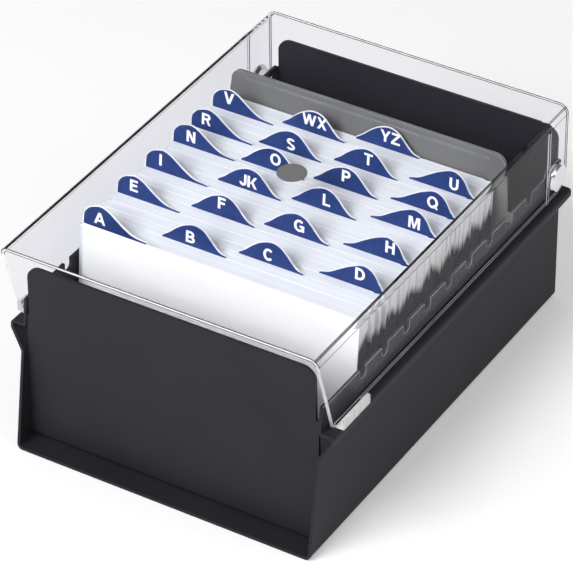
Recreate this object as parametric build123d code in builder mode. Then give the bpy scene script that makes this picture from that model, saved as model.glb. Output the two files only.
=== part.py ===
# Index card drawer: folded steel tray, hinged clear cover, A to Z guides, cards and follower.
# Millimetres, +Z up, +Y to the back, X across. The origin is at the bottom centre of the whole
# drawer, so the tray's front bottom edge lies at y_front and the cover's rear edge at -y_front.
from build123d import *
import math
import os

os.makedirs("parts", exist_ok=True)

# ---- cards: the size that everything is made round -----------------------------------------
card_width = 101.6
card_height = 57.15
card_lean = 5.56          # degrees back from upright
card_left_gap = 0.4       # between the stack and the left rail
side_room = 5.9           # what the rails leave free across, beside the cards
front_room = 29.1         # free length in front of the first guide, at the cards' top edges
stack_front_gap = 0.1     # between the first guide and the cards behind it
guide_thick = 0.5
guide_foot_gap = 0.1      # the first guide above the channels, as it turns
guide_rise = 0.1          # the guides' sheets are this much taller than the cards
first_guide_rise = 1.5    # the first sheet is this much taller than the other guides'
tab_height = 8.0
tab_width = 23.9
tab_columns = 4
tab_first = 0.1           # outer tabs from the sheet's side edges
tab_middle_shift = 1.2    # middle tabs, to the left of even spacing
tab_root = 0.8            # lowest height of the tabs' tails
tab_joint = 0.5           # how far a tab's outline reaches down into its sheet

# Guide letters, how many cards stand behind each, and how far each guide sits to the right of
# the cards' left edges.
guides = [
    ("a", 39, 1.6), ("b", 20, 1.4), ("c", 17, 1.3), ("d", 21, 1.5), ("e", 24, 0.3),
    ("f", 14, 0.6), ("g", 15, 0.0), ("h", 21, 0.2), ("i", 24, 0.2), ("jk", 12, 0.0),
    ("l", 19, 0.3), ("m", 19, 0.1), ("n", 8, 0.0), ("o", 11, 0.4), ("p", 12, 0.4),
    ("q", 12, 0.5), ("r", 12, 0.2), ("s", 16, 0.1), ("t", 14, 0.7), ("u", 15, 0.0),
    ("v", 13, 0.0), ("wx", 20, 0.8), ("yz", 3, 0.5),
]

# ---- tray: one sheet, bent along its length ------------------------------------------------
body_depth = 161.3        # tray, front bottom edge to rear end
steel = 1.0               # tray and end panel sheet
wall_height = 35.9        # where the side wall starts to flare out
rail_step = 0.25          # lower side walls outside the rails
lip_reach = 4.4           # how far the lip stands out beyond the wall
shelf_height = 45.8       # top of the shelf that the cover stands on
lip_height = 2.6          # upright part of the lip
rail_height = 9.1         # rail above the shelf
bend_radius = 1.5         # bottom bends, at the middle of the sheet
small_bend = 0.7          # the other bends, at the middle of the sheet
rake = 0.153              # front edges lean back by this much for each millimetre of height

# ---- notches in the rails ------------------------------------------------------------------
first_notch = 33.65       # rear side of the first notch, from the front bottom edge
notch_pitch = 13.39
notch_width = 3.85
notch_depth = 3.75

# ---- hinge ---------------------------------------------------------------------------------
hinge_from_rear = 5.9     # pivot in front of the tray's rear end
hinge_height = 7.0        # pivot above the shelf
ear_length = 12.0         # raised rear part of each rail, which carries the stud
ear_height = 2.3          # ear above the rest of the rail
stud_radius = 1.8         # shank
stud_head_radius = 5.2
stud_face_radius = 4.6
stud_crown_radius = 2.5
stud_head_rim = 0.3
stud_head_height = 1.4
stud_tail_radius = 3.2
stud_tail_height = 1.0
washer_radius = 4.2
pin_clearance = 0.05      # radial, of the shank in its holes
side_clearance = 0.1      # between the cover's sides and what they turn beside

# ---- cover ---------------------------------------------------------------------------------
cover_sheet = 1.3
cover_side_gap = 0.7      # between the right rail and the cover's side, filled by the washer
cover_left_play = 1.9     # more room than that on the left, where the washer is thicker
cover_head_room = 0.95    # under the cover, over the first tab as it passes upright
cover_bend = 3.3          # outer radius of the two long bends
cover_front_top = 2.1     # top front edge, from the tray's front bottom edge
cover_front_foot = 11.6   # lower front corner, from the tray's front bottom edge
cover_seat_gap = 0.15     # lower edge above the shelf
rib_from_hinge = 6.4      # stiffening rib on both sides, in front of the pivot
rib_width = 1.4
rib_proud = 0.35
thumb_inset = 0.2         # from the cover's lower front corner
thumb_length = 16.0
thumb_reach = 3.05        # on the right; the left one ends as far from the middle
thumb_thick = 1.0
thumb_rim = 1.15          # upright strip along the tab's outer edge
thumb_rim_height = 3.4
spot_back = 0.4           # behind the middle of the cover's top
spot_radius = 4.95
spot_thick = 0.3

# ---- end panels ----------------------------------------------------------------------------
front_panel_y = 7.7       # front face, from the front bottom edge
front_panel_drop = 7.4    # top edge below the underside of the cover
rear_panel_drop = 7.9
front_panel_gap = 1.1     # each side, between the front panel's upper part and the rail
rear_panel_gap = 0.2
panel_rail_gap = 0.05     # each side, between a panel's lower part and the rail
panel_shoulder = 0.3      # height of the slopes between a panel's widths
front_panel_step = 3.8    # where it narrows, above the shelf
panel_corner = 4.8
panel_flange = 8.0        # foot of each panel, folded along the tray's floor
panel_bend = 1.8          # outer radius of that fold

# ---- channels that the cards stand on ------------------------------------------------------
support_height = 7.4
support_width = 14.0
support_sheet = 1.0
support_inset = 22.8      # middle of each channel inside the cards' side edges
support_end_gap = 0.4
support_bend = 0.8

# ---- follower ------------------------------------------------------------------------------
notches_behind = 1        # free notches behind the follower
follower_thick = 1.2
follower_head_gap = 1.2   # under the cover
follower_foot_gap = 1.1   # above the channels
follower_side_gap = 0.45
follower_narrowing = 1.9  # each side, from the rails' top to the plate's top
follower_corner = 3.6
follower_foot_corner = 2.0
follower_back_gap = 0.15  # between its ears and the rear side of the notch
follower_card_gap = 0.8   # between its front and the last cards
follower_ear_gap = 0.85   # between the ears and the bottom of the notch
follower_ear_height = 3.2
follower_ear_reach = 1.45
follower_rim = 2.0        # raised line, from the plate's top edge
follower_rim_width = 0.6
follower_rim_height = 0.15

# ---- positions that follow -----------------------------------------------------------------
lean = math.radians(card_lean)
slope = math.tan(lean)
along = 1 / math.cos(lean)
hinge_from_front = body_depth - hinge_from_rear
heel_radius = hinge_height - cover_seat_gap
y_front = -max(hinge_from_front + heel_radius, body_depth) / 2
y_rear = y_front + body_depth
hinge_y = y_front + hinge_from_front
hinge_z = shelf_height + hinge_height
cover_end = hinge_y + heel_radius
rail_top = shelf_height + rail_height
ear_top = rail_top + ear_height
ear_front = y_rear - ear_length
rail_in = (card_width + side_room) / 2
rail_out = rail_in + steel
wall_out = rail_out + rail_step
wall_in = wall_out - steel
lip_out = wall_out + lip_reach
cover_in = rail_out + cover_side_gap
cover_out = cover_in + cover_sheet
cover_in_left = -cover_in - cover_left_play
cover_out_left = -cover_out - cover_left_play
thumb_out = max(cover_out + thumb_reach, side_clearance + stud_head_height - cover_out_left)
cover_foot = shelf_height + cover_seat_gap
card_floor = steel + support_height
card_top = card_floor + card_height * math.cos(lean)
card_x = -rail_in + card_left_gap + card_width / 2
card_drop = (card_top - card_floor) * slope    # how far the lean brings the cards' feet forward
first_height = card_height + guide_rise + first_guide_rise    # of the first guide's sheet
cover_under = card_floor + guide_foot_gap + first_height + tab_height + cover_head_room
cover_top = cover_under + cover_sheet
front_y = y_front + front_panel_y
notch_count = int((body_depth - ear_length - first_notch) / notch_pitch) + 1
notch_rears = [y_front + first_notch + notch_pitch * i for i in range(notch_count)]
# follower: its ears stand in one pair of notches
follower_top = cover_under - follower_head_gap
follower_foot = card_floor + follower_foot_gap
ear_foot = rail_top - notch_depth + follower_ear_gap
ear_tip = ear_foot + follower_ear_height
plate_rear_y = notch_rears[-1 - notches_behind] - follower_back_gap       # at the ears' tips
plate_front_y = plate_rear_y - ear_tip * slope - follower_thick * along   # carried down to z = 0
# guides, from the first to the last, at the height of the cards' top edges
guide_step = guide_thick * along
stack_start = front_y + steel + front_room
stack_end = plate_front_y + card_top * slope - follower_card_gap
cards_depth = stack_end - stack_start - stack_front_gap - guide_step * len(guides)
card_total = sum(count for letters, count, shift in guides)
guide_y = []
pack_y = []
place = stack_start
for n, (letters, count, shift) in enumerate(guides):
    guide_y.append(place)
    place += guide_step + (stack_front_gap if n == 0 else 0.0)
    pack_y.append((place, place + cards_depth * count / card_total))
    place = pack_y[-1][1]


# ---- tray shell ----------------------------------------------------------------------------
half = steel / 2
side_path = [
    (wall_out - half, half),
    (wall_out - half, wall_height),
    (lip_out - half, shelf_height - lip_height),
    (lip_out - half, shelf_height - half),
    (rail_out - half, shelf_height - half),
    (rail_out - half, ear_top),
]
tray_path = [(-x, z) for x, z in reversed(side_path)] + side_path
side_radii = [bend_radius] + [small_bend] * 4

with BuildPart() as tray_shell:
    with BuildSketch(Plane.XZ.offset(-y_rear)) as section:
        with BuildLine() as centre:
            FilletPolyline(*tray_path, radius=side_radii[::-1] + side_radii)
        trace(line_width=steel)
    extrude(amount=body_depth)
    # raked front edges
    with BuildSketch(Plane.YZ.offset(-lip_out - 1)):
        with BuildLine():
            Polyline((y_front - 5, 0), (y_front, 0), (y_front + rake * (ear_top + 5), ear_top + 5),
                     (y_front - 5, ear_top + 5), close=True)
        make_face()
    extrude(amount=2 * lip_out + 2, mode=Mode.SUBTRACT)
    # rails cut down in front of the ears
    with BuildSketch(Plane.YZ.offset(-wall_out - 2)):
        with Locations(((y_front - 1 + ear_front) / 2, (rail_top + ear_top + 1) / 2)):
            Rectangle(ear_front - y_front + 1, ear_top + 1 - rail_top)
    extrude(amount=2 * wall_out + 4, mode=Mode.SUBTRACT)
    # rounded corners of the ears
    ear_round = min(ear_height, ear_length / 2 - 0.2)
    for y_corner, side in ((ear_front, 1), (y_rear, -1)):
        with BuildSketch(Plane.YZ.offset(-wall_out - 2)):
            with Locations((y_corner + side * ear_round / 2, ear_top - ear_round / 2)):
                Rectangle(ear_round, ear_round)
            with Locations((y_corner + side * ear_round, ear_top - ear_round)):
                Circle(ear_round, mode=Mode.SUBTRACT)
        extrude(amount=2 * wall_out + 4, mode=Mode.SUBTRACT)
    # notches, open at the top, with round bottoms
    with BuildSketch(Plane.YZ.offset(-wall_out - 2)):
        for notch_rear in notch_rears:
            y_mid = notch_rear - notch_width / 2
            z_mid = rail_top - notch_depth + notch_width / 2
            with Locations((y_mid, z_mid)):
                Circle(notch_width / 2)
            with Locations((y_mid, (z_mid + rail_top + 1) / 2)):
                Rectangle(notch_width, rail_top + 1 - z_mid)
    extrude(amount=2 * wall_out + 4, mode=Mode.SUBTRACT)
    # holes for the hinge studs
    with BuildSketch(Plane.YZ.offset(-wall_out - 2)):
        with Locations((hinge_y, hinge_z)):
            Circle(stud_radius + pin_clearance)
    extrude(amount=2 * wall_out + 4, mode=Mode.SUBTRACT)
tray_shell.part.label = "tray_shell"
export_step(tray_shell.part, "parts/tray_shell.step")


# ---- end panels ----------------------------------------------------------------------------
def end_panel(y_outer, top, inward, side_gap, step):
    """Flat panel with its foot folded along the floor; y_outer is its outer face."""
    y_in = y_outer + inward * steel
    up_half = rail_in - side_gap
    low_half = rail_in - panel_rail_gap
    step_z = shelf_height + step
    with BuildPart() as panel:
        with BuildSketch(Plane.XZ.offset(-max(y_outer, y_in))) as face:
            with BuildLine():
                Polyline((-wall_in, steel), (wall_in, steel), (wall_in, wall_height),
                         (low_half, wall_height + panel_shoulder), (low_half, step_z - panel_shoulder),
                         (up_half, step_z), (up_half, top), (-up_half, top), (-up_half, step_z),
                         (-low_half, step_z - panel_shoulder),
                         (-low_half, wall_height + panel_shoulder), (-wall_in, wall_height), close=True)
            make_face()
            fillet(face.vertices().group_by(Axis.Y)[-1], radius=panel_corner)
            fillet(face.vertices().group_by(Axis.Y)[0], radius=bend_radius + half)
        extrude(amount=steel)
        y_far = y_in + inward * panel_flange
        with BuildSketch(Plane.XY.offset(steel)):
            with Locations((0, (y_in + y_far) / 2)):
                Rectangle(2 * (wall_in - bend_radius - half), panel_flange)
        extrude(amount=steel)
        # round the outside of the fold
        with BuildSketch(Plane.YZ.offset(-wall_in - 1)):
            with Locations((y_outer + inward * panel_bend / 2, steel + panel_bend / 2)):
                Rectangle(panel_bend, panel_bend)
            with Locations((y_outer + inward * panel_bend, steel + panel_bend)):
                Circle(panel_bend, mode=Mode.SUBTRACT)
        extrude(amount=2 * wall_in + 2, mode=Mode.SUBTRACT)
    return panel.part


front_panel = end_panel(front_y, cover_under - front_panel_drop, 1, front_panel_gap, front_panel_step)
front_panel.label = "front_panel"
export_step(front_panel, "parts/front_panel.step")

rear_panel = end_panel(y_rear, cover_under - rear_panel_drop, -1, rear_panel_gap, ear_height)
rear_panel.label = "rear_panel"
export_step(rear_panel, "parts/rear_panel.step")

# ---- channels that the cards stand on ------------------------------------------------------
support_front = front_y + steel + panel_flange + support_end_gap
support_back = y_rear - steel - panel_flange - support_end_gap
support_x = card_width / 2 - support_inset
for name, side in (("left", -1), ("right", 1)):
    with BuildPart() as support:
        with BuildSketch(Plane.XZ.offset(-support_back)):
            with Locations((side * support_x, steel + support_height / 2)):
                Rectangle(support_width, support_height)
            with Locations((side * support_x, steel + (support_height - support_sheet) / 2)):
                Rectangle(support_width - 2 * support_sheet, support_height - support_sheet,
                          mode=Mode.SUBTRACT)
        extrude(amount=support_back - support_front)
        crown = support.edges().filter_by(Axis.Y).group_by(Axis.Z)[-1]
        fillet(crown, radius=support_bend)
    support.part.label = f"card_support_{name}"
    export_step(support.part, f"parts/card_support_{name}.step")

# ---- hinge studs and washers ---------------------------------------------------------------
for name, side in (("left", -1), ("right", 1)):
    play = cover_left_play if side < 0 else 0.0
    head_x = cover_out + play + side_clearance
    tail_x = rail_in - stud_tail_height
    with BuildPart() as stud:
        with BuildSketch(Plane.XY) as half_section:
            with BuildLine():
                Polyline((tail_x, 0), (tail_x, stud_tail_radius), (rail_in, stud_tail_radius),
                              (rail_in, stud_radius), (head_x, stud_radius),
                              (head_x, stud_head_radius), (head_x + stud_head_rim, stud_head_radius),
                              (head_x + stud_head_height - stud_head_rim, stud_face_radius),
                              (head_x + stud_head_height, stud_crown_radius),
                              (head_x + stud_head_height, 0), close=True)
            make_face()
        revolve(axis=Axis.X)
    placed = stud.part if side > 0 else mirror(stud.part, about=Plane.YZ)
    placed = Pos(0, hinge_y, hinge_z) * placed
    placed.label = f"hinge_stud_{name}"
    export_step(placed, f"parts/hinge_stud_{name}.step")

    washer_thick = cover_in + play - rail_out - side_clearance
    with BuildPart() as washer:
        with BuildSketch(Plane.YZ.offset(rail_out)):
            Circle(washer_radius)
            Circle(stud_radius + pin_clearance, mode=Mode.SUBTRACT)
        extrude(amount=washer_thick)
    placed = washer.part if side > 0 else mirror(washer.part, about=Plane.YZ)
    placed = Pos(0, hinge_y, hinge_z) * placed
    placed.label = f"hinge_washer_{name}"
    export_step(placed, f"parts/hinge_washer_{name}.step")

# ---- cover ---------------------------------------------------------------------------------
with BuildPart() as cover:
    with BuildSketch(Plane.XZ.offset(-cover_end)) as hood:
        with Locations(((cover_out_left + cover_out) / 2, (cover_top + cover_foot) / 2)):
            Rectangle(cover_out - cover_out_left, cover_top - cover_foot)
        fillet(hood.vertices().group_by(Axis.Y)[-1], radius=cover_bend)
        with BuildSketch(mode=Mode.SUBTRACT) as hollow:
            with Locations(((cover_in_left + cover_in) / 2, (cover_under + cover_foot - 5) / 2)):
                Rectangle(cover_in - cover_in_left, cover_under - cover_foot + 5)
            fillet(hollow.vertices().group_by(Axis.Y)[-1], radius=cover_bend - cover_sheet)
    extrude(amount=cover_end - y_front - cover_front_top)
    # slanted front edges of the two sides
    with BuildSketch(Plane.YZ.offset(cover_out_left - 1)):
        with BuildLine():
            Polyline((y_front - 5, cover_top), (y_front + cover_front_top, cover_top),
                     (y_front + cover_front_foot, cover_foot), (y_front + cover_front_foot, cover_foot - 2),
                     (y_front - 5, cover_foot - 2), close=True)
        make_face()
    extrude(amount=cover_out - cover_out_left + 2, mode=Mode.SUBTRACT)
    # heels, round about the pivot
    with BuildSketch(Plane.YZ.offset(cover_out_left - 1)):
        with Locations((hinge_y + heel_radius / 2 + 1, hinge_z - heel_radius / 2 - 1)):
            Rectangle(heel_radius + 2, heel_radius + 2)
        with Locations((hinge_y, hinge_z)):
            Circle(heel_radius, mode=Mode.SUBTRACT)
    extrude(amount=cover_out - cover_out_left + 2, mode=Mode.SUBTRACT)
    for side, wall_face, wall_inner in ((-1, cover_out_left, cover_in_left), (1, cover_out, cover_in)):
        # rib over the height of the side
        rib_low = cover_foot
        rib_high = cover_top - cover_bend
        with Locations((wall_face + side * rib_proud / 2, hinge_y - rib_from_hinge,
                        (rib_low + rib_high) / 2)):
            Box(rib_proud, rib_width, rib_high - rib_low)
        # thumb tab with an upright rim
        thumb_y = y_front + cover_front_foot + thumb_inset + thumb_length / 2
        with Locations(((wall_inner + side * thumb_out) / 2, thumb_y, cover_foot + thumb_thick / 2)):
            Box(thumb_out - abs(wall_inner), thumb_length, thumb_thick)
        with Locations((side * (thumb_out - thumb_rim / 2), thumb_y, cover_foot + thumb_rim_height / 2)):
            Box(thumb_rim, thumb_length, thumb_rim_height)
    # stud holes
    with BuildSketch(Plane.YZ.offset(cover_out_left - 1)):
        with Locations((hinge_y, hinge_z)):
            Circle(stud_radius + pin_clearance)
    extrude(amount=cover_out - cover_out_left + 2, mode=Mode.SUBTRACT)
cover.part.label = "cover"
export_step(cover.part, "parts/cover.step")

# round spot in the middle of the cover's top
with BuildPart() as cover_spot:
    spot_y = (y_front + cover_front_top + cover_end) / 2 + spot_back
    with Locations(((cover_out_left + cover_out) / 2, spot_y, cover_top)):
        Cylinder(spot_radius, spot_thick, align=(Align.CENTER, Align.CENTER, Align.MIN))
cover_spot.part.label = "cover_spot"
export_step(cover_spot.part, "parts/cover_spot.step")


# ---- guides --------------------------------------------------------------------------------
def tab_outline(column):
    """Closed outline of a tab over the sheet's top edge, (across, up) from the tab's left end."""
    if column == 0:
        curve = [(0.008, 0.46), (0.045, 0.68), (0.125, 0.88), (0.28, 1.0), (0.41, 0.87),
                 (0.535, 0.61), (0.67, 0.34), (0.8, 0.165)]
    elif column == tab_columns - 1:
        curve = [(0.15, 0.24), (0.3, 0.52), (0.46, 0.8), (0.64, 1.0), (0.77, 0.9), (0.855, 0.66),
                 (0.905, 0.4), (0.95, 0.19)]
    else:
        curve = [(0.1, 0.31), (0.2, 0.58), (0.33, 0.85), (0.49, 1.0), (0.625, 0.92), (0.73, 0.67),
                 (0.83, 0.35), (0.91, 0.16)]
    start = 0.0 if column == 0 else tab_root
    return [(0.0, start)] + [(x * tab_width, z * tab_height) for x, z in curve] + [(tab_width, tab_root)]


def guide_plane(y_top, shift):
    """Plane of a guide's front face; its origin is the middle of the sheet's foot."""
    return Plane(origin=(card_x + shift, y_top - card_drop, card_floor), x_dir=(1, 0, 0),
                 z_dir=(0, -math.cos(lean), math.sin(lean)))


def make_guide(column, y_top, shift, foot_gap, height):
    """Sheet with one tab, leaning back, its foot just over the channels."""
    low = foot_gap + guide_thick * slope
    tab_pitch = (card_width - 2 * tab_first - tab_width) / (tab_columns - 1)
    tab_left = -card_width / 2 + tab_first + tab_pitch * column
    if 0 < column < tab_columns - 1:
        tab_left -= tab_middle_shift
    root = height - tab_joint
    pts = [(tab_left + x, height + z) for x, z in tab_outline(column)]
    with BuildPart() as guide:
        with BuildSketch(guide_plane(y_top, shift)):
            with Locations((0, (height + low) / 2)):
                Rectangle(card_width, height - low)
            with BuildLine():
                Line((tab_left, root), pts[0])
                Spline(*pts)
                Polyline(pts[-1], (pts[-1][0], root), (tab_left, root))
            make_face()
        extrude(amount=-guide_thick)
    return guide.part


for n, (letters, count, shift) in enumerate(guides):
    part = make_guide(n % tab_columns, guide_y[n], shift, guide_foot_gap if n == 0 else 0.0,
                      first_height if n == 0 else card_height + guide_rise)
    part.label = f"guide_{letters}"
    export_step(part, f"parts/guide_{letters}.step")

# ---- cards: one block behind each guide ----------------------------------------------------
blocks = []
for start, end in pack_y:
    with BuildPart() as block:
        with BuildSketch(Plane.YZ.offset(card_x - card_width / 2)):
            with BuildLine():
                Polyline((start - card_drop, card_floor), (end - card_drop, card_floor),
                         (end, card_top), (start, card_top), close=True)
            make_face()
        extrude(amount=card_width)
    blocks.append(block.part.solid())
index_cards = Compound(children=blocks)
index_cards.label = "index_cards"
export_step(index_cards, "parts/index_cards.step")

# ---- follower ------------------------------------------------------------------------------
plate_plane = Plane(origin=(0, plate_front_y, 0), x_dir=(1, 0, 0),
                    z_dir=(0, -math.cos(lean), math.sin(lean)))
follower_half = rail_in - follower_side_gap
top_half = follower_half - follower_narrowing
with BuildPart() as follower:
    with BuildSketch(plate_plane) as plate:
        with BuildLine():
            Polyline((-follower_half, follower_foot * along), (follower_half, follower_foot * along),
                     (follower_half, rail_top * along), (top_half, follower_top * along),
                     (-top_half, follower_top * along), (-follower_half, rail_top * along), close=True)
        make_face()
        fillet(plate.vertices().group_by(Axis.Y)[-1], radius=follower_corner)
        fillet(plate.vertices().group_by(Axis.Y)[0], radius=follower_foot_corner)
        with Locations((0, (ear_foot + ear_tip) * along / 2)):
            Rectangle(2 * (rail_in + follower_ear_reach), follower_ear_height * along)
    extrude(amount=-follower_thick)
    # raised line on the front face, along the top edge
    with BuildSketch(plate_plane):
        with Locations((0, follower_top * along - follower_rim - follower_rim_width / 2)):
            Rectangle(2 * (top_half - follower_rim - follower_corner), follower_rim_width)
    extrude(amount=follower_rim_height)
follower.part.label = "follower"
export_step(follower.part, "parts/follower.step")

foot_y = stack_start - card_drop
low_edge = guide_foot_gap + guide_thick * slope
print("overall x", 2 * thumb_out, "y", -2 * y_front, "z", cover_top + spot_thick)
print("hinge y, z", hinge_y, hinge_z)
print("first guide foot y, z", foot_y + low_edge * math.sin(lean), card_floor + low_edge * math.cos(lean))
print("follower ear y, z", plate_rear_y - (ear_tip - ear_foot) * slope - follower_thick / 2, ear_foot)
print("cards from", stack_start, "to", stack_end, "top", card_top, "one card", cards_depth / card_total)
print("front panel back", front_y + steel, "follower rear at its top",
      plate_rear_y + (follower_top - ear_tip) * slope, "rear panel front", y_rear - steel)
print("cover under", cover_under, "x of rails", rail_in, rail_out, "cover x", cover_in, cover_out)
print("guides", [round(y - y_front, 2) for y in guide_y])
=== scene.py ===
import bpy
import bmesh
import math
from mathutils import Matrix, Vector


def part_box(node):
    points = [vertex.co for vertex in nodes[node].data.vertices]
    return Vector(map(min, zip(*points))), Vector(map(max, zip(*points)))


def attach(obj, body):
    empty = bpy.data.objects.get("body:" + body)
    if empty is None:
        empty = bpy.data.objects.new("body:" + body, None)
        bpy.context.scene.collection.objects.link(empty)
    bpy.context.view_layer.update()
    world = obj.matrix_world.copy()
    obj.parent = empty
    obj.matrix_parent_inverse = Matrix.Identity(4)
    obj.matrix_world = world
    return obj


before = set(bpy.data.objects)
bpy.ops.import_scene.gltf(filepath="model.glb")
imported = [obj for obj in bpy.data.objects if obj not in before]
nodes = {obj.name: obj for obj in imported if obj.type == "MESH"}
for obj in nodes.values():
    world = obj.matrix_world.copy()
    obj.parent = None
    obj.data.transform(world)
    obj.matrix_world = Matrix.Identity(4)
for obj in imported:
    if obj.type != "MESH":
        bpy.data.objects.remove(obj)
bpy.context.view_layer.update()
scene = bpy.context.scene

MM = 0.001
# the cards and guides lean back
LEAN = math.radians(5.56)
UP = Vector((0.0, math.sin(LEAN), math.cos(LEAN)))        # up along a leaning card
OUT = Vector((0.0, -math.cos(LEAN), math.sin(LEAN)))      # out of its front face
ACROSS = Vector((1.0, 0.0, 0.0))
# the part's sizes, in mm, as its source has them
CARD_FLOOR = 8.4
CARD_H = 57.15
CARD_W = 101.6
GUIDE_RISE, FIRST_RISE = 0.1, 1.5
TAB_W, TAB_H, TAB_ROOT, TAB_FIRST, TAB_MIDDLE_SHIFT = 23.9, 8.0, 0.8, 0.1, 1.2
NOTCH_PITCH = 13.39
# print on the tabs, in mm
TAB_INSET = 0.28          # the blue's edge, inside the tab's cut edge
INK_TOP = 0.05            # the blue stands this far out of the tab
LETTER_LOW, LETTER_TOP = 0.03, 0.09
LETTER_HEIGHT = 4.2
LETTER_GAP = 0.09         # between two letters, in letter heights
# painted shadow of the notched rails on the lower part of the cards' sides, in metres
SHADE_Z = 0.0562          # its middle height
SHADE_WAVE = 0.0022       # rise and fall along the notches
SHADE_SCATTER = 0.005     # unevenness from card to card
SHADE_SOFT = 0.0032       # height over which it fades
SHADE_PHASE = 52.8        # mm; puts the shade's peaks beside the notches
GUIDE_SHADE_Z = 0.0565
SHADE_COLOUR = (0.030, 0.036, 0.055)
# zones of the clear cover, in metres
COVER_MIDDLE = -0.00095   # it sits this far to the left of the tray's middle
RIM_FROM = 0.0584         # the thumb tabs' rims start here, from the cover's middle
THUMB_FROM = 0.0588       # only the thumb tabs reach this far from the tray's middle
FRONT_ZONE = -0.055       # edges in front of this belong to the sawn front edge
FOOT_BAND = 0.004         # height of the foot at the lower ends of the side walls
# where the painted edge highlights go, in metres
TOOTH_Z = 0.0465
RAIL_FACES = (0.0541, 0.0551)
PLATE_Z = 0.0600
# light
WORLD_LIGHT = 0.34
FLOOR_LIFT = 0.26         # brings the floor that is looked at up to white

GUIDES = ["a", "b", "c", "d", "e", "f", "g", "h", "i", "jk", "l", "m", "n", "o", "p", "q",
          "r", "s", "t", "u", "v", "wx", "yz"]


# ---- node helpers --------------------------------------------------------------------------
def new_material(name):
    mat = bpy.data.materials.new(name)
    mat.use_nodes = True
    tree = mat.node_tree
    bsdf = tree.nodes["Principled BSDF"]
    return mat, tree, bsdf


def node(tree, kind, **values):
    n = tree.nodes.new(kind)
    for key, value in values.items():
        if key in n.inputs.keys():
            n.inputs[key].default_value = value
        else:
            setattr(n, key, value)
    return n


def coords(tree, rotation=(0, 0, 0)):
    tc = node(tree, "ShaderNodeTexCoord")
    mp = node(tree, "ShaderNodeMapping")
    mp.inputs["Rotation"].default_value = rotation
    tree.links.new(tc.outputs["Object"], mp.inputs["Vector"])
    return mp.outputs["Vector"]


def stretched(tree, vector, scale):
    mp = node(tree, "ShaderNodeMapping")
    mp.inputs["Scale"].default_value = scale
    tree.links.new(vector, mp.inputs["Vector"])
    return mp.outputs["Vector"]


def noise(tree, vector, scale, detail=3.0, rough=0.5):
    n = node(tree, "ShaderNodeTexNoise", Scale=scale, Detail=detail, Roughness=rough)
    tree.links.new(vector, n.inputs["Vector"])
    return n.outputs["Fac"]


def ramp(tree, fac, stops):
    r = node(tree, "ShaderNodeValToRGB")
    while len(r.color_ramp.elements) < len(stops):
        r.color_ramp.elements.new(0.5)
    for e, (pos, col) in zip(r.color_ramp.elements, stops):
        e.position = pos
        e.color = (*col, 1.0)
    tree.links.new(fac, r.inputs["Fac"])
    return r.outputs["Color"]


def bump(tree, height, strength, distance, normal=None):
    b = node(tree, "ShaderNodeBump", Strength=strength, Distance=distance)
    tree.links.new(height, b.inputs["Height"])
    if normal is not None:
        tree.links.new(normal, b.inputs["Normal"])
    return b.outputs["Normal"]


def grey(v):
    return (v, v, v)


def split(tree, kind, output):
    """The three parts of a coordinate or a normal."""
    parts = node(tree, "ShaderNodeSeparateXYZ")
    tree.links.new(node(tree, kind).outputs[output], parts.inputs[0])
    return parts.outputs


def calc(tree, operation, a, b=None, clamp=False):
    m = node(tree, "ShaderNodeMath", operation=operation, use_clamp=clamp)
    for socket, value in zip(m.inputs, (a, b)):
        if value is None:
            continue
        if isinstance(value, (int, float)):
            socket.default_value = value
        else:
            tree.links.new(value, socket)
    return m.outputs[0]


def blend(tree, fac, a, b, how="MIX"):
    """Colour a where fac is 0, b where it is 1."""
    m = node(tree, "ShaderNodeMix", data_type="RGBA", blend_type=how)
    for socket, value in ((m.inputs[0], fac), (m.inputs[6], a), (m.inputs[7], b)):
        if isinstance(value, (int, float)):
            socket.default_value = value
        elif isinstance(value, tuple):
            socket.default_value = (*value, 1.0)
        else:
            tree.links.new(value, socket)
    return m.outputs[2]


# ---- materials -----------------------------------------------------------------------------
def powder_coat(name, dark, light, roughness, specular):
    mat, tree, bsdf = new_material(name)
    v = coords(tree)
    cloud = noise(tree, v, 28.0, 4.0, 0.6)
    grain = noise(tree, v, 2600.0, 2.0, 0.5)
    peel = noise(tree, v, 900.0, 2.0, 0.5)
    tree.links.new(ramp(tree, cloud, [(0.3, dark), (0.72, light)]), bsdf.inputs["Base Color"])
    rough = [(0.3, grey(roughness - 0.05)), (0.7, grey(roughness + 0.06))]
    tree.links.new(ramp(tree, grain, rough), bsdf.inputs["Roughness"])
    n = bump(tree, peel, 0.18, 0.00006)
    n = bump(tree, grain, 0.22, 0.00003, n)
    tree.links.new(n, bsdf.inputs["Normal"])
    bsdf.inputs["Specular IOR Level"].default_value = specular
    return mat


black_steel = powder_coat("black_powder_coat", (0.0215, 0.0208, 0.026),
                          (0.0265, 0.0257, 0.0315), 0.5, 0.12)
grey_steel = powder_coat("grey_enamel", (0.128, 0.128, 0.126), (0.160, 0.160, 0.157), 0.42, 0.4)

# clear cover; the sawn front edge and the rims of the thumb tabs are paler and less clear
clear, tree, bsdf = new_material("clear_plastic")
at = split(tree, "ShaderNodeTexCoord", "Object")
turned = split(tree, "ShaderNodeTexCoord", "Normal")
sawn = calc(tree, "LESS_THAN", turned[1], -0.75)
from_middle = calc(tree, "ABSOLUTE", calc(tree, "ADD", at[0], -COVER_MIDDLE))
pale = calc(tree, "MAXIMUM", sawn, calc(tree, "GREATER_THAN", from_middle, RIM_FROM))
streaky = noise(tree, stretched(tree, coords(tree), (900.0, 900.0, 40.0)), 1.0, 2.0, 0.5)
cloudiness = calc(tree, "ADD", calc(tree, "MULTIPLY", streaky, 0.5), 0.45)
tree.links.new(calc(tree, "SUBTRACT", 1.0, calc(tree, "MULTIPLY", pale, cloudiness)),
               bsdf.inputs["Transmission Weight"])
bsdf.inputs["IOR"].default_value = 1.10
v = coords(tree)
smear = noise(tree, v, 60.0, 4.0, 0.6)
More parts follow.
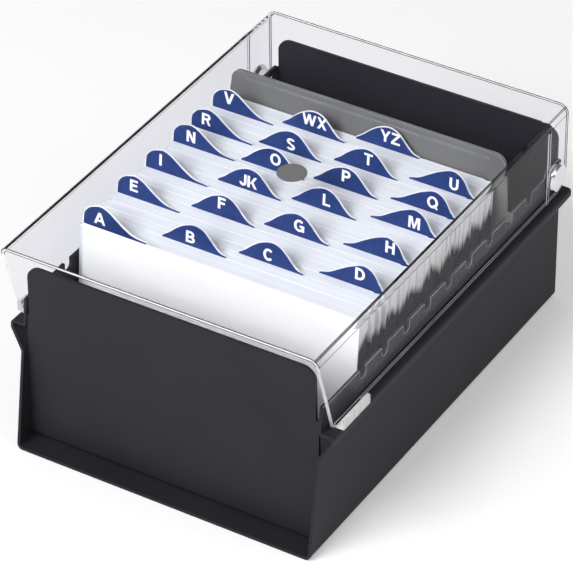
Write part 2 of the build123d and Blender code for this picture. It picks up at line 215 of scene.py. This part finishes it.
tree.links.new(ramp(tree, smear, [(0.35, grey(0.0)), (0.8, grey(0.02))]), bsdf.inputs["Roughness"])
cloudy = noise(tree, v, 14.0, 2.0, 0.5)
tint = ramp(tree, cloudy, [(0.3, (0.905, 0.908, 0.935)), (0.7, (0.920, 0.923, 0.945))])
tree.links.new(blend(tree, pale, tint, (0.93, 0.93, 0.94)), bsdf.inputs["Base Color"])
wave = noise(tree, v, 22.0, 1.0, 0.4)
tree.links.new(bump(tree, wave, 0.03, 0.0003), bsdf.inputs["Normal"])

# cards: the leaning stack's single edges as fine lines; a painted shadow darkens the sides towards
# the rails
cards, tree, bsdf = new_material("card_stock")
v = coords(tree, rotation=(LEAN, 0, 0))
sheets = noise(tree, stretched(tree, v, (6.0, 2400.0, 4.0)), 1.0, 2.0, 0.7)
packs = noise(tree, stretched(tree, v, (4.0, 420.0, 3.0)), 1.0, 2.0, 0.6)
fine = ramp(tree, sheets, [(0.3, (0.66, 0.68, 0.715)), (0.55, (0.735, 0.755, 0.79))])
wide = ramp(tree, packs, [(0.3, (0.93, 0.94, 0.955)), (0.6, (1.0, 1.0, 1.0))])
top = blend(tree, 1.0, fine, wide, "MULTIPLY")
side_fine = ramp(tree, sheets, [(0.3, (0.90, 0.89, 0.87)), (0.6, (0.965, 0.955, 0.93))])
side_wide = ramp(tree, packs, [(0.25, (0.95, 0.95, 0.95)), (0.6, (1.0, 1.0, 1.0))])
side = blend(tree, 1.0, side_fine, side_wide, "MULTIPLY")
at = split(tree, "ShaderNodeTexCoord", "Object")
# painted shadow of the rails' teeth on the cards' sides: its upper edge rises and falls with the
# notches
wave = calc(tree, "SINE", calc(tree, "MULTIPLY", calc(tree, "ADD", at[1], SHADE_PHASE * MM),
                               2 * math.pi / (NOTCH_PITCH * MM)))
edge_z = calc(tree, "ADD", calc(tree, "MULTIPLY", wave, SHADE_WAVE), SHADE_Z)
scatter = calc(tree, "MULTIPLY", calc(tree, "SUBTRACT", packs, 0.5), SHADE_SCATTER)
edge_z = calc(tree, "ADD", edge_z, scatter)
shade = calc(tree, "DIVIDE", calc(tree, "SUBTRACT", edge_z, at[2]), SHADE_SOFT, clamp=True)
side = blend(tree, shade, side, SHADE_COLOUR)
# painted light: the same card stock takes a darker tone on its tops and a paler one on its flanks,
# chosen by facing
facing = split(tree, "ShaderNodeNewGeometry", "Normal")
flank = calc(tree, "GREATER_THAN", calc(tree, "ABSOLUTE", facing[0]), 0.5)
tree.links.new(blend(tree, flank, top, side), bsdf.inputs["Base Color"])
bsdf.inputs["Roughness"].default_value = 0.85
bsdf.inputs["Specular IOR Level"].default_value = 0.15
tree.links.new(bump(tree, sheets, 0.3, 0.00008), bsdf.inputs["Normal"])


def paper(name, dark, light):
    mat, tree, bsdf = new_material(name)
    v = coords(tree)
    fibre = noise(tree, v, 1500.0, 3.0, 0.65)
    cloud = noise(tree, v, 45.0, 3.0, 0.5)
    a = ramp(tree, cloud, [(0.3, dark), (0.7, light)])
    b = ramp(tree, fibre, [(0.3, grey(0.965)), (0.7, grey(1.0))])
    tree.links.new(blend(tree, 1.0, a, b, "MULTIPLY"), bsdf.inputs["Base Color"])
    bsdf.inputs["Roughness"].default_value = 0.7
    bsdf.inputs["Specular IOR Level"].default_value = 0.2
    tree.links.new(bump(tree, fibre, 0.12, 0.00004), bsdf.inputs["Normal"])
    return mat


# painted light: one guide paper in two tones; the front sheet is painted paler against the front
# panel's shade, the inner sheets darker under the strong light from above
guide_sheet = paper("guide_sheet", (0.93, 0.93, 0.925), (0.955, 0.955, 0.95))
inner_sheet = paper("inner_guide_sheet", (0.75, 0.76, 0.775), (0.80, 0.81, 0.825))
# where they stand out of the cards' side, these sheets get the same painted shadow downwards as the
# cards
tree = inner_sheet.node_tree
color = tree.nodes["Principled BSDF"].inputs["Base Color"]
plain_paper = color.links[0].from_socket
at = split(tree, "ShaderNodeTexCoord", "Object")
low = calc(tree, "DIVIDE", calc(tree, "SUBTRACT", GUIDE_SHADE_Z, at[2]), SHADE_SOFT, clamp=True)
beyond = calc(tree, "GREATER_THAN", at[0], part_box("index_cards")[1][0] - 0.0001)
tree.links.new(blend(tree, calc(tree, "MULTIPLY", low, beyond), plain_paper, SHADE_COLOUR), color)

# printed blue of the tabs
tab_blue, tree, bsdf = new_material("tab_blue")
v = coords(tree)
ink = noise(tree, v, 700.0, 3.0, 0.6)
tree.links.new(ramp(tree, ink, [(0.3, (0.011, 0.032, 0.135)), (0.7, (0.016, 0.041, 0.165))]),
               bsdf.inputs["Base Color"])
bsdf.inputs["Roughness"].default_value = 0.45
bsdf.inputs["Specular IOR Level"].default_value = 0.2
tree.links.new(bump(tree, ink, 0.06, 0.00003), bsdf.inputs["Normal"])

letter_white = paper("letter_white", (0.90, 0.91, 0.92), (0.95, 0.955, 0.96))

# bright studs
bright, tree, bsdf = new_material("bright_metal")
v = coords(tree)
fine = noise(tree, v, 1800.0, 3.0, 0.6)
tree.links.new(ramp(tree, fine, [(0.3, grey(0.12)), (0.7, grey(0.24))]), bsdf.inputs["Roughness"])
tree.links.new(ramp(tree, fine, [(0.3, (0.72, 0.72, 0.74)), (0.7, (0.80, 0.80, 0.82))]),
               bsdf.inputs["Base Color"])
bsdf.inputs["Metallic"].default_value = 1.0

washer = paper("washer_plastic", (0.62, 0.62, 0.60), (0.70, 0.70, 0.68))
spot = paper("spot_grey", (0.180, 0.180, 0.182), (0.205, 0.205, 0.207))

looks = {
    "tray_shell": black_steel, "front_panel": black_steel, "rear_panel": black_steel,
    "card_support_left": black_steel, "card_support_right": black_steel,
    "hinge_stud_left": bright, "hinge_stud_right": bright,
    "hinge_washer_left": washer, "hinge_washer_right": washer,
    "cover": clear, "cover_spot": spot, "index_cards": cards, "follower": grey_steel,
}
for g in GUIDES:
    looks["guide_" + g] = guide_sheet if g == "a" else inner_sheet
for name, mat in looks.items():
    obj = nodes[name]
    obj.data.materials.clear()
    obj.data.materials.append(mat)


# ---- tabs: printed blue faces and letters --------------------------------------------------
def tab_curve(column):
    if column == 0:
        curve = [(0.008, 0.46), (0.045, 0.68), (0.125, 0.88), (0.28, 1.0), (0.41, 0.87),
                 (0.535, 0.61), (0.67, 0.34), (0.8, 0.165)]
    elif column == 3:
        curve = [(0.15, 0.24), (0.3, 0.52), (0.46, 0.8), (0.64, 1.0), (0.77, 0.9), (0.855, 0.66),
                 (0.905, 0.4), (0.95, 0.19)]
    else:
        curve = [(0.1, 0.31), (0.2, 0.58), (0.33, 0.85), (0.49, 1.0), (0.625, 0.92), (0.73, 0.67),
                 (0.83, 0.35), (0.91, 0.16)]
    start = 0.0 if column == 0 else TAB_ROOT
    return [(0.0, start)] + [(x * TAB_W, z * TAB_H) for x, z in curve] + [(TAB_W, TAB_ROOT)]


def smooth(points, per=10):
    """Catmull-Rom points through the given ones."""
    pts = [Vector(p) for p in points]
    pts = [pts[0] * 2 - pts[1]] + pts + [pts[-1] * 2 - pts[-2]]
    out = []
    for i in range(1, len(pts) - 2):
        a, b, c, d = pts[i - 1:i + 3]
        for k in range(per):
            t = k / per
            out.append(0.5 * (2 * b + (c - a) * t + (2 * a - 5 * b + 4 * c - d) * t * t
                              + (3 * b - a - 3 * c + d) * t * t * t))
    out.append(pts[-2])
    return out


def piece(name, bm, material, body):
    """Object from a bmesh that moves with a body."""
    bmesh.ops.recalc_face_normals(bm, faces=bm.faces)
    me = bpy.data.meshes.new(name)
    bm.to_mesh(me)
    bm.free()
    obj = bpy.data.objects.new(name, me)
    scene.collection.objects.link(obj)
    me.materials.append(material)
    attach(obj, body)


def prisms(name, polygons, origin, low, high, material, body):
    """Thin raised shapes in the guide's plane; points are (across, up) in mm from origin."""
    bm = bmesh.new()
    for ring in polygons:
        rows = [[bm.verts.new(origin + ACROSS * x * MM + UP * y * MM + OUT * lift * MM)
                 for x, y in ring] for lift in (high, low)]
        bm.faces.new(rows[0])
        bm.faces.new(list(reversed(rows[1])))
        for i in range(len(ring)):
            j = (i + 1) % len(ring)
            bm.faces.new((rows[0][i], rows[1][i], rows[1][j], rows[0][j]))
    piece(name, bm, material, body)


def tab_face(name, column, origin, body):
    """Printed face of a tab, set in a little from its cut edge."""
    line = smooth(tab_curve(column))
    ring = []
    for i, p in enumerate(line):
        along = line[min(i + 1, len(line) - 1)] - line[max(i - 1, 0)]
        side = Vector((along.y, -along.x)).normalized() * TAB_INSET
        ring.append((p.x + side.x, p.y + side.y))
    x0 = TAB_INSET if column == 0 else 0.0
    ring = [(min(max(x, x0), TAB_W), max(y, 0.05)) for x, y in ring]
    ring += [(TAB_W, 0.0), (x0, 0.0)]
    # drop repeats
    clean = [ring[0]]
    for q in ring[1:]:
        if math.hypot(q[0] - clean[-1][0], q[1] - clean[-1][1]) > 0.01:
            clean.append(q)
    prisms(name, [clean], origin, 0.0, INK_TOP, tab_blue, body)


# Plain bold capitals, drawn as convex pieces in a cell one high.
T = 0.215                           # thickness of upright strokes
S = T * 0.86                        # thickness of level strokes


def box(x0, y0, x1, y1):
    return [[(x0, y0), (x1, y0), (x1, y1), (x0, y1)]]


def leg(x0, x1, w=T * 1.1, y0=0.0, y1=1.0):
    """Slanted stroke from x0 at y0 to x1 at y1."""
    return [[(x0, y0), (x0 + w, y0), (x1 + w, y1), (x1, y1)]]


def bow(cx, cy, rx, ry, a0, a1, w=T, steps=14):
    """Arc of an ellipse's band, angles in degrees from +x, counterclockwise."""
    out = []
    for k in range(steps):
        b0, b1 = (math.radians(a0 + (a1 - a0) * (k + m) / steps) for m in (0, 1))
        out.append([(cx + rx * math.cos(b0), cy + ry * math.sin(b0)),
                    (cx + rx * math.cos(b1), cy + ry * math.sin(b1)),
                    (cx + (rx - w) * math.cos(b1), cy + (ry - w * 0.88) * math.sin(b1)),
                    (cx + (rx - w) * math.cos(b0), cy + (ry - w * 0.88) * math.sin(b0))])
    return out


def glyph(ch):
    """Pieces and width of one capital."""
    if ch == "A":
        return leg(0, 0.39) + leg(0.785, 0.39) + box(0.22, 0.21, 0.78, 0.21 + S), 1.0
    if ch == "B":
        return (box(0, 0, T, 1) + box(T, 1 - S, 0.42, 1) + box(T, 0.5 - S / 2, 0.45, 0.5 + S / 2)
                + box(T, 0, 0.45, S) + bow(0.42, 0.73, 0.31, 0.27, -90, 90)
                + bow(0.45, 0.29, 0.34, 0.29, -90, 90)), 0.79
    if ch == "C":
        return bow(0.44, 0.5, 0.44, 0.515, 42, 318, T, 26), 0.84
    if ch == "D":
        return (box(0, 0, T, 1) + box(T, 1 - S, 0.36, 1) + box(T, 0, 0.36, S)
                + bow(0.36, 0.5, 0.46, 0.5, -90, 90, T, 20)), 0.82
    if ch == "E":
        return (box(0, 0, T, 1) + box(T, 1 - S, 0.7, 1) + box(T, 0.43, 0.65, 0.43 + S)
                + box(T, 0, 0.72, S)), 0.72
    if ch == "F":
        return box(0, 0, T, 1) + box(T, 1 - S, 0.68, 1) + box(T, 0.42, 0.61, 0.42 + S), 0.68
    if ch == "G":
        return (bow(0.46, 0.5, 0.46, 0.515, 45, 335, T, 26) + box(0.50, 0.37, 0.90, 0.37 + S)
                + box(0.90 - S, 0.02, 0.90, 0.37)), 0.9
    if ch == "H":
        return box(0, 0, T, 1) + box(0.8 - T, 0, 0.8, 1) + box(T, 0.43, 0.8 - T, 0.43 + S), 0.8
    if ch == "I":
        return box(0, 0, T, 1), T
    if ch == "J":
        return box(0.62 - T, 0.28, 0.62, 1) + bow(0.31, 0.29, 0.31, 0.305, -180, 0), 0.62
    if ch == "K":
        return (box(0, 0, T, 1) + leg(T * 0.9, 0.60, 0.24, 0.36, 1.0)
                + [[(0.28, 0.50), (0.44, 0.66), (0.86, 0.0), (0.62, 0.0)]]), 0.86
    if ch == "L":
        return box(0, 0, T, 1) + box(T, 0, 0.66, S), 0.66
    if ch == "M":
        return (box(0, 0, T * 0.92, 1) + box(1.0 - T * 0.92, 0, 1.0, 1)
                + [[(T * 0.5, 1), (T * 1.45, 1), (0.57, 0), (0.43, 0)]]
                + [[(1 - T * 1.45, 1), (1 - T * 0.5, 1), (0.57, 0), (0.43, 0)]]), 1.0
    if ch == "N":
        return (box(0, 0, T, 1) + box(0.8 - T, 0, 0.8, 1)
                + [[(T * 0.1, 1), (T * 1.2, 1), (0.8 - T * 0.1, 0), (0.8 - T * 1.2, 0)]]), 0.8
    if ch == "O":
        return bow(0.47, 0.5, 0.47, 0.515, 0, 360, T, 32), 0.94
    if ch == "P":
        return (box(0, 0, T, 1) + box(T, 1 - S, 0.43, 1) + box(T, 0.36, 0.43, 0.36 + S)
                + bow(0.43, 0.68, 0.32, 0.32, -90, 90)), 0.75
    if ch == "Q":
        return (bow(0.47, 0.5, 0.47, 0.515, 0, 360, T, 32)
                + [[(0.50, 0.24), (0.62, 0.34), (0.96, 0.02), (0.84, -0.08)]]), 0.94
    if ch == "R":
        return (box(0, 0, T, 1) + box(T, 1 - S, 0.46, 1) + box(T, 0.42, 0.48, 0.42 + S)
                + bow(0.46, 0.71, 0.33, 0.29, -90, 90)
                + [[(0.40, 0.44), (0.60, 0.44), (0.82, 0.0), (0.60, 0.0)]]), 0.82
    if ch == "S":
        return (bow(0.39, 0.735, 0.37, 0.28, 25, 270, T, 18)
                + bow(0.39, 0.265, 0.39, 0.28, -155, 90, T, 18)), 0.78
    if ch == "T":
        return box(0, 1 - S, 0.76, 1) + box(0.38 - T / 2, 0, 0.38 + T / 2, 1 - S), 0.76
    if ch == "U":
        return (box(0, 0.38, T, 1) + box(0.79 - T, 0.38, 0.79, 1)
                + bow(0.395, 0.385, 0.395, 0.40, 180, 360, T, 18)), 0.79
    if ch == "V":
        return leg(0.355, 0.0) + leg(0.355, 0.71), 0.925
    if ch == "W":
        return (leg(0.26, 0.0, 0.2) + leg(0.26, 0.53, 0.2) + leg(0.80, 0.53, 0.2)
                + leg(0.80, 1.06, 0.2)), 1.26
    if ch == "X":
        return leg(0, 0.64, 0.24) + leg(0.64, 0, 0.24), 0.88
    if ch == "Y":
        return (leg(0.345, 0.0, 0.22, 0.40) + leg(0.345, 0.69, 0.22, 0.40)
                + box(0.455 - T / 2, 0, 0.455 + T / 2, 0.45)), 0.91
    return (box(0.02, 1 - S, 0.76, 1) + box(0, 0, 0.78, S)
            + [[(0.0, S), (0.24, S), (0.76, 1 - S), (0.50, 1 - S)]]), 0.78


def letters(name, text, middle, origin, body):
    """Generic index letters in thin raised print."""
    shapes, x = [], 0.0
    for i, ch in enumerate(text):
        if i:
            x += LETTER_GAP
        pieces, width = glyph(ch)
        shapes += [[(px + x, py) for px, py in ring] for ring in pieces]
        x += width
    rings = [[((px - x / 2) * LETTER_HEIGHT + middle[0], (py - 0.5) * LETTER_HEIGHT + middle[1])
              for px, py in ring] for ring in shapes]
    prisms(name, rings, origin, LETTER_LOW, LETTER_TOP, letter_white, body)


# where each guide's letters are printed: from the tab's left end and above the sheet's edge
PRINT_AT = {
    "a": (6.3, 3.55), "b": (10.6, 3.25), "c": (10.85, 3.2), "d": (14.6, 4.55), "e": (6.5, 4.35),
    "f": (11.4, 4.9), "g": (13.0, 3.95), "h": (16.9, 4.65), "i": (5.85, 4.25), "jk": (11.55, 3.3),
    "l": (12.95, 3.9), "m": (15.9, 3.3), "n": (7.0, 3.75), "o": (13.0, 4.3), "p": (12.1, 4.8),
    "q": (15.3, 3.8), "r": (6.0, 4.1), "s": (12.2, 3.25), "t": (12.8, 4.45), "u": (16.45, 3.35),
    "v": (6.5, 4.8), "wx": (12.25, 4.5), "yz": (12.8, 4.5),
}
pitch = (CARD_W - 2 * TAB_FIRST - TAB_W) / 3
for n, g in enumerate(GUIDES):
    body = "front_guide" if g == "a" else "tray"
    column = n % 4
    verts = [v.co for v in nodes["guide_" + g].data.vertices]
    left = min(c.x for c in verts)
    front = max(c.dot(OUT) for c in verts)
    y_foot = (CARD_FLOOR * MM * math.sin(LEAN) - front) / math.cos(LEAN)
    tab_left = TAB_FIRST + pitch * column - (TAB_MIDDLE_SHIFT if column in (1, 2) else 0.0)
    shoulder = CARD_H + GUIDE_RISE + (FIRST_RISE if n == 0 else 0.0)
    origin = Vector((left + tab_left * MM, y_foot, CARD_FLOOR * MM)) + UP * shoulder * MM
    tab_face("tab_face_" + g, column, origin, body)
    letters("tab_letter_" + g, g.upper(), PRINT_AT[g], origin, body)


# ---- painted reflections and highlights as thin lines: cover edges and bends, rails, follower ---
def edge_lines(name, source_name, body, material, chosen, radius, depth=1.5):
    """Thin rods along chosen edges of a part; chosen gets the ends and both normals."""
    source = bmesh.new()
    source.from_mesh(nodes[source_name].data)
    bmesh.ops.remove_doubles(source, verts=source.verts, dist=1e-6)
    source.normal_update()
    bm = bmesh.new()
    for e in source.edges:
        if len(e.link_faces) != 2:
            continue
        n0, n1 = (f.normal for f in e.link_faces)
        a, b = e.verts[0].co, e.verts[1].co
        if (b - a).length < 1e-5 or not chosen(a, b, n0, n1):
            continue
        inward = -(n0 + n1).normalized()
        side = (b - a).normalized().cross(inward).normalized()
        # the sawn front edge's lines lie at its surface, all others in the wall
        at_front = max(a.y, b.y) < FRONT_ZONE and max(abs(a.x), abs(b.x)) < THUMB_FROM
        middle = inward * radius * (min(depth, 0.3) if at_front else depth)
        rows = [[bm.verts.new(p + middle + (inward * cy + side * cx) * radius)
                 for cx, cy in ((1, 0), (0, 1), (-1, 0), (0, -1))] for p in (a, b)]
        for i in range(4):
            j = (i + 1) % 4
            bm.faces.new((rows[0][i], rows[0][j], rows[1][j], rows[1][i]))
        bm.faces.new(rows[0])
        bm.faces.new(list(reversed(rows[1])))
    source.free()
    piece(name, bm, material, body)


def line_material(name, dark, light):
    mat, tree, bsdf = new_material(name)
    v = coords(tree)
    run = noise(tree, v, 90.0, 3.0, 0.6)
    tree.links.new(ramp(tree, run, [(0.35, dark), (0.7, light)]), bsdf.inputs["Base Color"])
    tree.links.new(ramp(tree, run, [(0.3, grey(0.2)), (0.7, grey(0.4))]), bsdf.inputs["Roughness"])
    bsdf.inputs["Specular IOR Level"].default_value = 0.2
    return mat


# painted reflection: dark lines along the clear cover's upper edges, rims and bends
edge_dark = line_material("cover_edge_dark", (0.016, 0.017, 0.022), (0.05, 0.052, 0.062))
# painted highlight: pale lines along the cover's foot
edge_pale = line_material("cover_edge_pale", (0.55, 0.56, 0.60), (0.85, 0.86, 0.88))
# painted highlight: pale lines on the rails' tooth tops and the follower's top edge
edge_painted_highlight = line_material("painted_highlight_edge", (0.22, 0.24, 0.29), (0.42, 0.44, 0.50))
foot_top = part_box("cover")[0][2] + FOOT_BAND


def sharp(n0, n1):
    return n0.angle(n1, 0.0) > math.radians(50)


def rim_or_high(a, b, n0, n1):
    on_rim = min(abs(a.x), abs(b.x)) > THUMB_FROM
    return sharp(n0, n1) and (min(a.z, b.z) > foot_top or on_rim)


def foot(a, b, n0, n1):
    return sharp(n0, n1) and max(a.z, b.z) < foot_top and max(abs(a.x), abs(b.x)) < THUMB_FROM


def bend(a, b, n0, n1):
    """Along the cover's bends: in their middle and where they end on the side walls."""
    if abs((b - a).normalized().y) < 0.99 or sharp(n0, n1) or a.z < foot_top:
        return False
    if min(n0.z, n1.z) < -1e-5 or n0.angle(n1, 0.0) < 0.002 or n0.x * a.x + n1.x * b.x < 0:
        return False
    tilt = math.degrees((n0 + n1).normalized().angle(Vector((0, 0, 1))))
    return 38 < tilt < 52 or (max(abs(n0.x), abs(n1.x)) > 0.99995 and tilt > 60)


def tooth(a, b, n0, n1):
    """Outer top edges of the notched rails."""
    return (sharp(n0, n1) and min(a.z, b.z) > TOOTH_Z
            and RAIL_FACES[0] < min(abs(a.x), abs(b.x)) and max(abs(a.x), abs(b.x)) < RAIL_FACES[1])


def plate_top(a, b, n0, n1):
    return sharp(n0, n1) and min(a.z, b.z) > PLATE_Z


# painted reflections along the cover's edges, rims and bends
edge_lines("cover_edge_line", "cover", "cover", edge_dark, rim_or_high, 0.00014)
# painted highlight along the cover's lower edges
edge_lines("cover_foot_line", "cover", "cover", edge_pale, foot, 0.00012)
edge_lines("cover_bend_line", "cover", "cover", edge_dark, bend, 0.00012)
# painted highlights on the rails' tooth tops and the follower's top edge
edge_lines("rail_edge_line", "tray_shell", "tray", edge_painted_highlight, tooth, 0.00009, 0.3)
edge_lines("follower_edge_line", "follower", "follower", edge_painted_highlight, plate_top,
           0.00007, 0.3)

# ---- camera --------------------------------------------------------------------------------
# solved from the object's straight edges, in a unit of 1.10 mm from the front bottom edge
PICTURE_PX, F_PX = 573.0, 3794.4718
AZ, EL, ROLL = math.radians(31.5638), math.radians(36.3662), math.radians(0.5109)
UNIT = 1.10 * MM
DISTANCE = 1123.5472 * UNIT
SENSOR = 36.0
target = Vector((-2.2210, 73.7118, 29.9882)) * UNIT + Vector((0, -81.125 * MM, 0))
fwd = Vector((-math.sin(AZ) * math.cos(EL), math.cos(AZ) * math.cos(EL), -math.sin(EL)))
right = Vector((math.cos(AZ), math.sin(AZ), 0))
down = fwd.cross(right)
r = right * math.cos(ROLL) + down * math.sin(ROLL)
d = down * math.cos(ROLL) - right * math.sin(ROLL)
cam_data = bpy.data.cameras.new("camera")
cam_data.sensor_width = SENSOR
cam_data.lens = F_PX * SENSOR / PICTURE_PX
cam_data.clip_start = 0.05
cam_data.clip_end = 50.0
cam = bpy.data.objects.new("camera", cam_data)
scene.collection.objects.link(cam)
rot = Matrix((r, -d, -fwd)).transposed()
cam.matrix_world = Matrix.Translation(target - fwd * DISTANCE) @ rot.to_4x4()
scene.camera = cam

# ---- floor, world and lights ---------------------------------------------------------------
me = bpy.data.meshes.new("floor")
half, under = 3.0, -0.0002
me.from_pydata([(-half, -half, under), (half, -half, under), (half, half, under),
                (-half, half, under)], [], [(0, 1, 2, 3)])
floor = bpy.data.objects.new("floor", me)
scene.collection.objects.link(floor)
mat, tree, bsdf = new_material("floor_white")
v = coords(tree)
dust = noise(tree, v, 8.0, 2.0, 0.5)
tree.links.new(ramp(tree, dust, [(0.0, grey(0.93)), (1.0, grey(0.94))]), bsdf.inputs["Base Color"])
bsdf.inputs["Roughness"].default_value = 0.9
bsdf.inputs["Specular IOR Level"].default_value = 0.0


def seen(tree):
    """1 for what is looked at, straight, mirrored or through clear plastic, and 0 for light."""
    rays = node(tree, "ShaderNodeLightPath")
    either = calc(tree, "MAXIMUM", rays.outputs["Is Camera Ray"], rays.outputs["Is Glossy Ray"])
    either = calc(tree, "MAXIMUM", either, rays.outputs["Is Transmission Ray"])
    before_diffuse = calc(tree, "LESS_THAN", rays.outputs["Diffuse Depth"], 0.5)
    return calc(tree, "MULTIPLY", either, before_diffuse)


bsdf.inputs["Emission Color"].default_value = (1.0, 1.0, 1.0, 1.0)
tree.links.new(calc(tree, "MULTIPLY", seen(tree), FLOOR_LIFT), bsdf.inputs["Emission Strength"])
me.materials.append(mat)

# what is looked at: white round the horizon and overhead, with a grey band between them;
# surfaces are lit by a plain grey
world = bpy.data.worlds.new("world")
scene.world = world
world.use_nodes = True
tree = world.node_tree
bg = tree.nodes["Background"]
direction = node(tree, "ShaderNodeSeparateXYZ")
tree.links.new(node(tree, "ShaderNodeTexCoord").outputs["Generated"], direction.inputs[0])
studio = ramp(tree, direction.outputs[2], [
    (0.0, (1.0, 1.0, 1.0)), (0.20, (1.0, 1.0, 1.0)), (0.34, (0.16, 0.17, 0.20)),
    (0.74, (0.16, 0.17, 0.20)), (0.86, (1.0, 1.0, 1.0))])
tree.links.new(blend(tree, seen(tree), grey(WORLD_LIGHT), studio), bg.inputs["Color"])
bg.inputs["Strength"].default_value = 1.0


def area(name, location, aim, size, power):
    data = bpy.data.lights.new(name, "AREA")
    data.energy = power
    data.size = size
    obj = bpy.data.objects.new(name, data)
    obj.location = location
    obj.rotation_euler = (Vector(aim) - Vector(location)).to_track_quat("-Z", "Y").to_euler()
    scene.collection.objects.link(obj)


area("key", (-0.25, -0.83, 0.80), (0, 0, 0.03), 0.6, 9.6)
area("fill", (0.95, 0.0, 0.50), (0, 0, 0.03), 0.6, 1.9)
nodes["cover"].visible_shadow = False        # the lamps shine through the clear cover

scene.view_settings.view_transform = "Standard"

bpy.context.view_layer.update()
